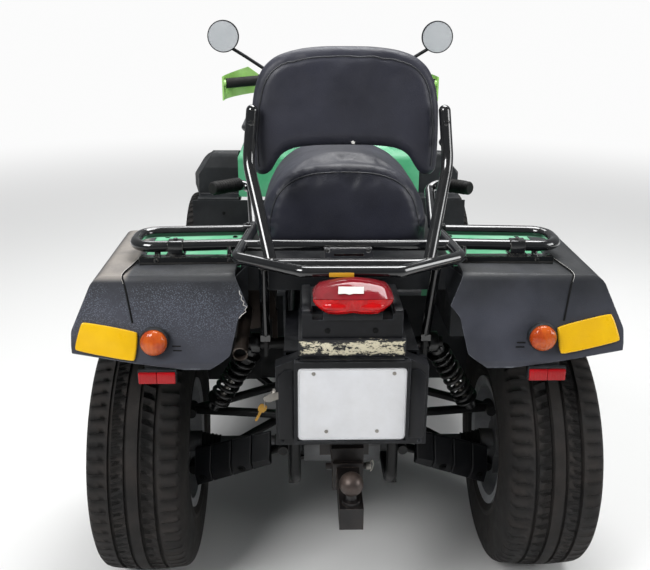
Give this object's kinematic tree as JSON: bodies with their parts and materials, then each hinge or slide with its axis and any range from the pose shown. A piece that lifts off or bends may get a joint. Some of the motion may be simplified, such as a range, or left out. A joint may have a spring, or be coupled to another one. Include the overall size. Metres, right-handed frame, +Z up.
{
  "type": "quad bike",
  "caption": "Two-seat utility quad bike on road tyres, with steered front wheels, padded backrest, tubular racks, tail box with a side-hinged door, and a tow ball.",
  "frame": {"origin": "on the ground, at the middle of the overall length and width", "axes": "+X to the rider's right, +Y forward, +Z up"},
  "size_m": [1.2008, 2.341, 1.3409],
  "materials": {
    "black_steel": "gloss",
    "cast_metal": "satin",
    "rubber": "matt",
    "tyre": "matt",
    "wheel": "satin",
    "black_plastic": "grained",
    "green_plastic": "gloss",
    "lime_plastic": "gloss",
    "seat_vinyl": "satin",
    "steel": "satin",
    "lamp_red": "gloss",
    "lamp_clear": "gloss",
    "marker_amber": "gloss",
    "plate_white": "gloss",
    "mirror_black": "gloss"
  },
  "bodies": {
    "chassis": {"frame": "black_steel", "powertrain": "cast_metal", "drive_shafts": "rubber", "suspension_arms": "black_steel", "arm_guards": "black_plastic", "rear_carriers": "cast_metal", "dampers": "black_steel", "front_bumper": "black_steel", "front_rack": "black_steel", "front_body": "green_plastic", "headlights": "lamp_clear", "centre_cover": "green_plastic", "tunnel_covers": "black_plastic", "fuel_cap": "black_plastic", "footwells": "black_plastic", "front_fenders": "black_plastic", "seat": "seat_vinyl", "passenger_seat": "seat_vinyl", "rear_body": "green_plastic", "seat_base": "black_plastic", "rear_fenders": "black_plastic", "rear_rack": "black_steel", "backrest_frame": "black_steel", "backrest": "seat_vinyl", "passenger_grips": "rubber", "tail_lamp": "lamp_red", "tail_box": "black_plastic", "rear_markers": "marker_amber", "receiver": "black_steel", "drawbar": "cast_metal", "muffler": "cast_metal"},
    "tail_door": {"box_door": "black_plastic", "number_plate": "plate_white", "door_lock": "steel"},
    "steering": {"steering_stem": "black_steel", "handlebar": "black_steel", "grips": "rubber", "handguards": "lime_plastic", "mirrors": "mirror_black", "instrument_pod": "black_plastic"},
    "knuckle_left": {"knuckle_left": "cast_metal"},
    "knuckle_right": {"knuckle_right": "cast_metal"},
    "tie_rod_left": {"tie_rod_left": "steel"},
    "tie_rod_right": {"tie_rod_right": "steel"},
    "wheel_front_left": {"tyre_front_left": "tyre", "rim_front_left": "wheel"},
    "wheel_front_right": {"tyre_front_right": "tyre", "rim_front_right": "wheel"},
    "wheel_rear_left": {"tyre_rear_left": "tyre", "rim_rear_left": "wheel"},
    "wheel_rear_right": {"tyre_rear_right": "tyre", "rim_rear_right": "wheel"}
  },
  "joints": [
    {"name": "steering_turn", "type": "hinge", "parent": "chassis", "child": "steering", "pos_m": [0, 0.79, 0.41], "axis": [0, -0.4226, 0.9063], "range_deg": [-35, 35]},
    {"name": "door_swing", "type": "hinge", "parent": "chassis", "child": "tail_door", "pos_m": [0.148, -1.066, 0.645], "axis": [0, 0, 1], "range_deg": [0, 105]},
    {"name": "knuckle_left_turn", "type": "hinge", "parent": "chassis", "child": "knuckle_left", "pos_m": [-0.43, 0.8, 0.317], "axis": [0, 0, 1], "range_deg": [-28, 28]},
    {"name": "tie_rod_left_turn", "type": "hinge", "parent": "steering", "child": "tie_rod_left", "pos_m": [0, 0.70995, 0.41129], "axis": [0, -0.4226, 0.9063], "range_deg": [-35, 35]},
    {"name": "knuckle_right_turn", "type": "hinge", "parent": "chassis", "child": "knuckle_right", "pos_m": [0.43, 0.8, 0.317], "axis": [0, 0, 1], "range_deg": [-28, 28]},
    {"name": "tie_rod_right_turn", "type": "hinge", "parent": "steering", "child": "tie_rod_right", "pos_m": [0, 0.70995, 0.41129], "axis": [0, -0.4226, 0.9063], "range_deg": [-35, 35]},
    {"name": "wheel_front_left_roll", "type": "hinge", "parent": "knuckle_left", "child": "wheel_front_left", "pos_m": [-0.48, 0.8, 0.317], "axis": [1, 0, 0], "continuous": true},
    {"name": "wheel_front_right_roll", "type": "hinge", "parent": "knuckle_right", "child": "wheel_front_right", "pos_m": [0.48, 0.8, 0.317], "axis": [1, 0, 0], "continuous": true},
    {"name": "wheel_rear_left_roll", "type": "hinge", "parent": "chassis", "child": "wheel_rear_left", "pos_m": [-0.485, -0.7, 0.317], "axis": [1, 0, 0], "continuous": true},
    {"name": "wheel_rear_right_roll", "type": "hinge", "parent": "chassis", "child": "wheel_rear_right", "pos_m": [0.485, -0.7, 0.317], "axis": [1, 0, 0], "continuous": true}
  ],
  "couplings": [
    {"joint": "knuckle_left_turn", "follows": "steering_turn", "ratio": 0.8},
    {"joint": "tie_rod_left_turn", "follows": "steering_turn", "ratio": -1},
    {"joint": "knuckle_right_turn", "follows": "steering_turn", "ratio": 0.8},
    {"joint": "tie_rod_right_turn", "follows": "steering_turn", "ratio": -1}
  ]
}
